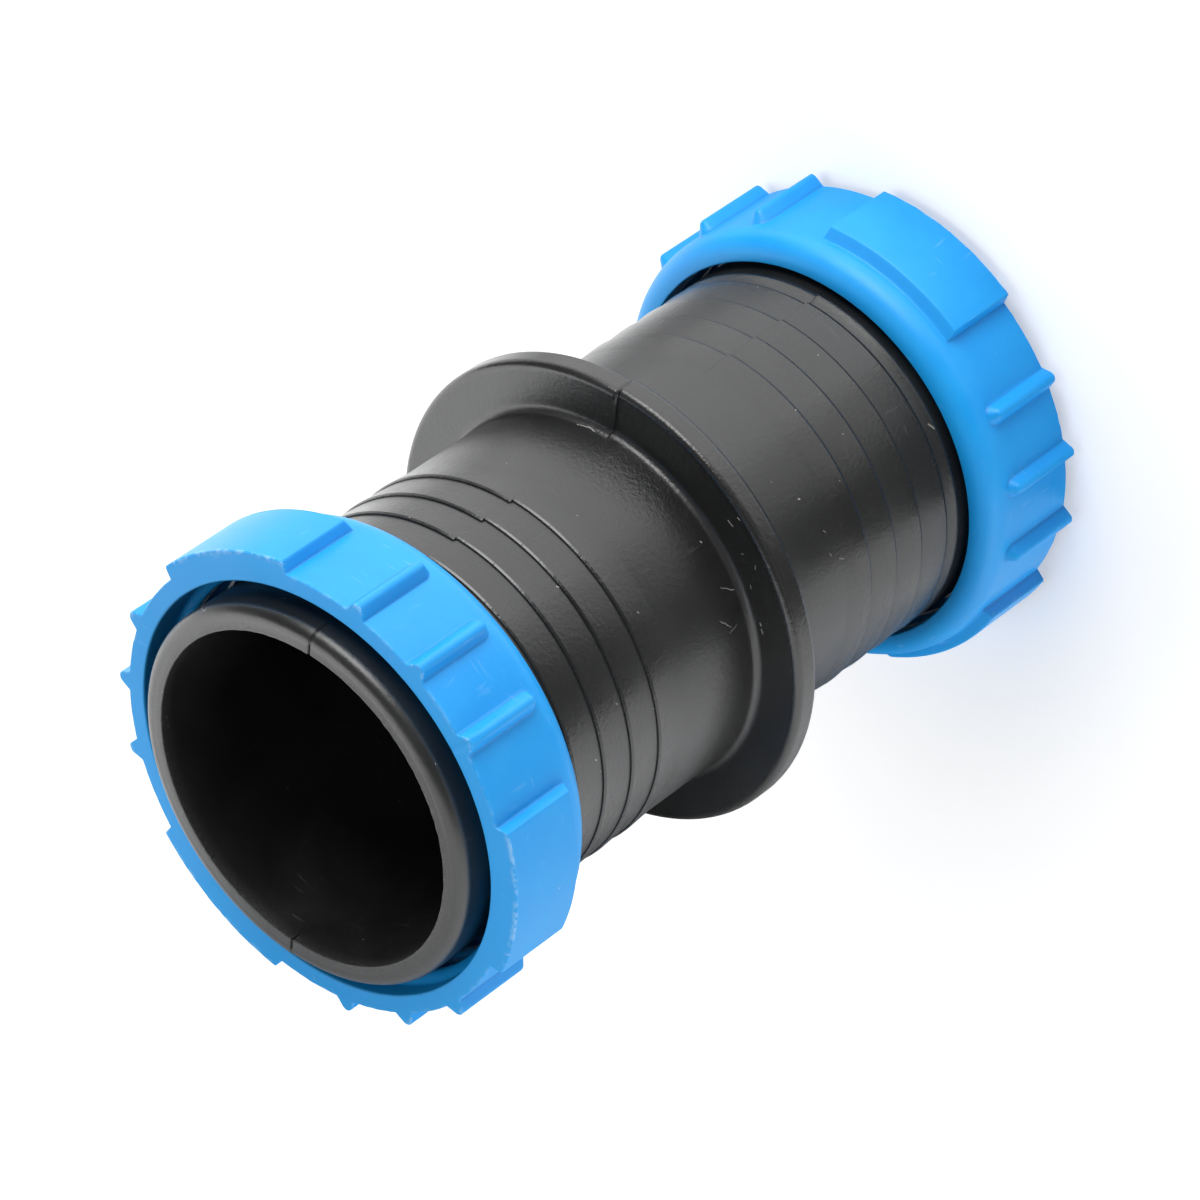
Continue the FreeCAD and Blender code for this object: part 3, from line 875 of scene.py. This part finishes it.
# Fibres and crumbs on the black plastic: both ends as degrees round the axis, radius and
# height in mm, the way that the surface faces, half width, bend, strength.
TUBE = 24.8
FIBRES = (
    ((-54.0, TUBE, 59.2), (-56.5, TUBE, 57.3), "out", 0.05, 0.5, 0.7),
    ((-62.3, TUBE, 60.9), (-65.5, TUBE, 59.3), "out", 0.045, 1.0, 0.8),
    ((-66.8, TUBE, 60.0), (-66.0, TUBE, 58.5), "out", 0.045, 0.4, 0.45),
    ((-40.6, TUBE, 58.4), (-40.2, TUBE, 58.5), "out", 0.09, 0.1, 1.0),
    ((-28.0, TUBE, 79.7), (-28.5, TUBE, 79.5), "out", 0.09, 0.1, 0.9),
    ((-75.0, TUBE, 85.4), (-75.4, TUBE, 85.2), "out", 0.09, 0.1, 0.8),
    ((-46.0, TUBE, 72.1), (-46.4, TUBE, 72.0), "out", 0.07, 0.1, 0.7),
    ((-64.0, TUBE, 80.3), (-64.4, TUBE, 80.1), "out", 0.07, 0.1, 0.7),
    ((10.5, TUBE, 57.5), (4.5, TUBE, 57.4), "out", 0.05, 0.6, 1.0),
    ((-39.4, 28.3, 56.5), (-41.0, 28.6, 56.5), "up", 0.08, 0.5, 0.9),
    ((-39.8, 30.1, 56.5), (-40.4, 30.2, 56.5), "up", 0.08, 0.1, 1.0),
    ((-51.6, 28.8, 56.5), (-52.8, 28.5, 56.5), "up", 0.05, 0.4, 0.8),
    ((-48.0, 27.4, 56.5), (-48.3, 27.7, 56.5), "up", 0.05, 0.2, 0.6),
    ((-56.6, 26.6, 56.5), (-57.6, 26.5, 56.5), "up", 0.06, 0.2, 0.8),
    ((-67.6, 26.2, 56.5), (-68.3, 26.3, 56.5), "up", 0.10, 0.1, 1.0),
    ((-69.4, 26.2, 56.5), (-70.6, 26.3, 56.5), "up", 0.08, 0.1, 1.0),
    ((-46.0, TUBE, 42.2), (-46.3, TUBE, 42.0), "out", 0.09, 0.1, 0.8),
    ((-49.8, TUBE, 18.3), (-51.6, TUBE, 17.9), "out", 0.09, 0.2, 0.6),
    ((-64.6, TUBE, 40.8), (-65.6, TUBE, 40.6), "out", 0.05, 0.3, 0.5),
    ((-67.6, TUBE, 39.4), (-68.4, TUBE, 38.8), "out", 0.05, 0.3, 0.5),
    ((-57.6, TUBE, 40.7), (-58.4, TUBE, 40.4), "out", 0.05, 0.3, 0.5),
)


def spot(turn, radius, height):
    """Place in mm from degrees round the axis, radius and height."""
    a = math.radians(turn)
    return (radius * math.cos(a), radius * math.sin(a), height)


# Nicks in the near nut: degrees round it, height from the front, size and depth in mm.
NEAR_NICKS = ((79.0, 0.4, 0.5, 0.35),)


# operators

class COUPLING_OT_shell(Operator):
    """Make the black coupling: tube, rings, stop flange and mouths"""
    bl_idname = "drip_coupling.shell"
    bl_label = "Coupling Shell"

    def execute(self, context):
        scene = context.scene
        finish = black_plastic(scene.coupling_colours, shared_groups())
        shell = skin_coupling(scene.coupling_sizes, finish)
        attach(shell, "coupling")
        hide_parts("coupling_body")
        return {"FINISHED"}


class COUPLING_OT_nuts(Operator):
    """Make both blue grip nuts, the near one with its front up, the far one down"""
    bl_idname = "drip_coupling.grip_nuts"
    bl_label = "Grip Nuts"

    def execute(self, context):
        scene = context.scene
        s = scene.coupling_nut
        finish = blue_plastic(scene.coupling_colours, shared_groups())
        near = skin_nut("near_grip_nut", s, s.near_front, s.near_turn, True, 21,
                        NEAR_NICKS, finish)
        far = skin_nut("far_grip_nut", s, s.far_front, s.far_turn, False, 34, (), finish)
        for nut, body, node in ((near, "near_nut_ring", "near_nut"),
                                (far, "far_nut_ring", "far_nut")):
            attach(nut, body)
            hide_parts(node)
        return {"FINISHED"}


def soft_box(name, place, towards, size, brightness):
    """Soft lamp with its middle at that place, turned to a point, as bright as told."""
    lamp = bpy.data.lights.new(name, "AREA")
    lamp.shape = "RECTANGLE"
    lamp.size, lamp.size_y = size
    lamp.energy = brightness * math.pi * size[0] * size[1]
    thing = bpy.data.objects.new(name, lamp)
    thing.location = place
    away = Vector(place) - Vector(towards)
    thing.rotation_euler = away.to_track_quat("Z", "Y").to_euler()
    thing.visible_camera = False
    bpy.context.scene.collection.objects.link(thing)
    return thing


def flat_card(name, points, material):
    """Flat card with those corners."""
    mesh = bpy.data.meshes.new(name)
    mesh.from_pydata(points, [], [tuple(range(len(points)))])
    mesh.materials.append(material)
    card = bpy.data.objects.new(name, mesh)
    bpy.context.scene.collection.objects.link(card)
    return card


def arc(radius, first, last, height):
    """Points round the part's axis from one turn to another, in degrees."""
    steps = max(8, int(abs(last - first) / 4))
    turns = [math.radians(first + (last - first) * k / steps) for k in range(steps + 1)]
    return [(radius * math.cos(t), radius * math.sin(t), height) for t in turns]


def matt_finish(name, colour, glow=0.0):
    """Material without any gloss, which may give a white glow."""
    material, tree, skin = start_finish(name)
    skin.inputs["Base Color"].default_value = (*colour, 1.0)
    skin.inputs["Roughness"].default_value = 1.0
    skin.inputs["Specular IOR Level"].default_value = 0.0
    skin.inputs["Emission Color"].default_value = (1.0, 1.0, 1.0, 1.0)
    skin.inputs["Emission Strength"].default_value = glow
    return material, tree, skin


def pale_floor(colour, glow):
    """Matt floor that reads white wherever no shadow falls on it."""
    material, tree, skin = matt_finish("Pale floor", colour)
    rays = add(tree, "ShaderNodeLightPath").outputs
    seen = sums(tree, "MAXIMUM", rays["Is Camera Ray"], rays["Is Glossy Ray"])
    seen = sums(tree, "MAXIMUM", seen, rays["Is Transmission Ray"])
    tree.links.new(sums(tree, "MULTIPLY", seen, glow), skin.inputs["Emission Strength"])
    return material


def seen_in_gloss(card):
    """Let only the sheen of the part show a card, so that it shades and hides nothing."""
    for ray in ("camera", "diffuse", "transmission", "volume_scatter", "shadow"):
        setattr(card, "visible_" + ray, False)


def bench_finish(grey, left_glow, right_glow):
    """Pale card with a painted glow on both sides of the strip that the part would lie on, and a
    painted shadow of no glow along that strip.
    """
    material, tree, skin = matt_finish("Pale bench card", (grey, grey, grey))
    across = add(tree, "ShaderNodeSeparateXYZ", {0: own_place(tree)}).outputs["Y"]
    left = spread(tree, across, -0.012, -0.045, 0.0, left_glow)
    right = spread(tree, across, 0.008, 0.035, 0.0, right_glow)
    tree.links.new(sums(tree, "ADD", left, right), skin.inputs["Emission Strength"])
    return material


FLOOR_RADIUS = 4.0
FLOOR_GLOW = 0.31
WORLD_GLOW = 0.15

# Cards on the floor that only the gloss sees: name, finish, first and last turn in
# degrees, height, grey, glow. They lie between these two radii.
CARD_RADII = (0.03, 0.60)
# The dim card and the plain card put painted shade into the part's reflections; the bright card's glow
# is painted light.
CARDS = (
    ("shade_card", "Dim card", -90.0, -25.0, 0.0005, 0.20, 0.0),
    ("plain_card", "Plain card", -25.0, 72.0, 0.0005, 0.72, 0.0),
    ("bright_card", "Bright card", 84.0, 150.0, 0.0006, 0.80, 0.9),
)

# Upright card in the gloss, across the X axis where the part would touch a bench. Its glow is painted
# light, and its dim middle a painted shadow of the part.
BENCH_X, BENCH_HALF, BENCH_TOP = -0.0317, 0.6, 0.6
BENCH_GREY, BENCH_LEFT_GLOW, BENCH_RIGHT_GLOW = 0.70, 0.32, 0.85

# Lamps: name, place, the point that they face, size, brightness, shown in the gloss.
MIDDLE = (0.0, 0.0, 0.0547)
LAMPS = (
    ("overhead_box", (1.0, 0.12, 0.20), MIDDLE, (0.75, 0.75), 4.9, True),
    ("front_box", (0.02, 0.28, 0.90), MIDDLE, (0.9, 0.9), 2.0, False),
    ("left_box", (-0.57, -0.82, 0.20), MIDDLE, (0.9, 0.7), 4.6, False),
    ("right_box", (0.92, 0.36, 0.18), MIDDLE, (0.9, 0.7), 2.6, False),
    ("bench_light", (0.17, 0.03, 0.003), (0.17, 0.03, 1.0), (0.26, 0.2), 0.8, True),
)

# Camera fitted to the circles in the photograph: its place, and the ways that its right
# side, its top and its back face. The focal length is in the photograph's pixels.
CAMERA_PLACE = (0.4787, -0.3478, 0.5187)
CAMERA_RIGHT = (0.0752, -0.7584, -0.6476)
CAMERA_UP = (0.7662, 0.4595, -0.4491)
CAMERA_BACK = (0.6382, -0.4624, 0.6156)
FOCAL_PIXELS = 6224
PHOTO_PIXELS = 1200
SENSOR_WIDTH = 36


class COUPLING_OT_stage(Operator):
    """Set the floor, the lamps, the pale surroundings and the camera"""
    bl_idname = "drip_coupling.stage"
    bl_label = "Stage"

    def execute(self, context):
        scene = context.scene
        colours = scene.coupling_colours
        floor = pale_floor(tuple(colours.floor), FLOOR_GLOW)
        flat_card("floor", arc(FLOOR_RADIUS, -180.0, 180.0, 0.0)[:-1], floor)
        inner, outer = CARD_RADII
        for name, finish, first, last, height, grey, glow in CARDS:
            points = arc(outer, first, last, height)
            points += reversed(arc(inner, first, last, height))
            material = matt_finish(finish, (grey, grey, grey), glow)[0]
            seen_in_gloss(flat_card(name, points, material))
        points = [(BENCH_X, -BENCH_HALF, 0.0), (BENCH_X, BENCH_HALF, 0.0),
                  (BENCH_X, BENCH_HALF, BENCH_TOP), (BENCH_X, -BENCH_HALF, BENCH_TOP)]
        bench = bench_finish(BENCH_GREY, BENCH_LEFT_GLOW, BENCH_RIGHT_GLOW)
        seen_in_gloss(flat_card("bench_card", points, bench))

        world = bpy.data.worlds.new("Pale surroundings")
        world.use_nodes = True
        back = world.node_tree.nodes["Background"]
        back.inputs["Color"].default_value = (1, 1, 1, 1)
        back.inputs["Strength"].default_value = WORLD_GLOW
        scene.world = world
        for name, place, towards, size, brightness, glossy in LAMPS:
            lamp = soft_box(name, place, towards, size, brightness)
            lamp.visible_glossy = glossy

        lens = bpy.data.cameras.new("camera")
        lens.sensor_width = SENSOR_WIDTH
        lens.lens = FOCAL_PIXELS / PHOTO_PIXELS * SENSOR_WIDTH
        lens.clip_start, lens.clip_end = 0.05, 20
        camera = bpy.data.objects.new("camera", lens)
        scene.collection.objects.link(camera)
        turn = Matrix((CAMERA_RIGHT, CAMERA_UP, CAMERA_BACK)).transposed().to_4x4()
        turn.translation = CAMERA_PLACE
        camera.matrix_world = turn
        scene.camera = camera
        scene.view_settings.view_transform = "Standard"
        return {"FINISHED"}


class COUPLING_PT_panel(Panel):
    """Lists the pieces and the stage"""
    bl_idname = "COUPLING_PT_panel"
    bl_label = "Drip Tape Coupling"
    bl_space_type = "VIEW_3D"
    bl_region_type = "UI"
    bl_category = "Coupling"

    def draw(self, context):
        column = self.layout.column()
        for kind in (COUPLING_OT_shell, COUPLING_OT_nuts, COUPLING_OT_stage):
            column.operator(kind.bl_idname)
        for group in (context.scene.coupling_sizes, context.scene.coupling_nut,
                      context.scene.coupling_colours):
            box = self.layout.box()
            for word in group.__annotations__:
                box.prop(group, word)


CLASSES = (CouplingSizes, NutSizes, FinishColours, COUPLING_OT_shell, COUPLING_OT_nuts,
           COUPLING_OT_stage, COUPLING_PT_panel)


def register():
    for kind in CLASSES:
        bpy.utils.register_class(kind)
    bpy.types.Scene.coupling_sizes = PointerProperty(type=CouplingSizes)
    bpy.types.Scene.coupling_nut = PointerProperty(type=NutSizes)
    bpy.types.Scene.coupling_colours = PointerProperty(type=FinishColours)


def unregister():
    del bpy.types.Scene.coupling_colours
    del bpy.types.Scene.coupling_nut
    del bpy.types.Scene.coupling_sizes
    for kind in reversed(CLASSES):
        bpy.utils.unregister_class(kind)


def main():
    register()
    bpy.ops.drip_coupling.shell()
    bpy.ops.drip_coupling.grip_nuts()
    bpy.ops.drip_coupling.stage()


if __name__ == "__main__":
    main()
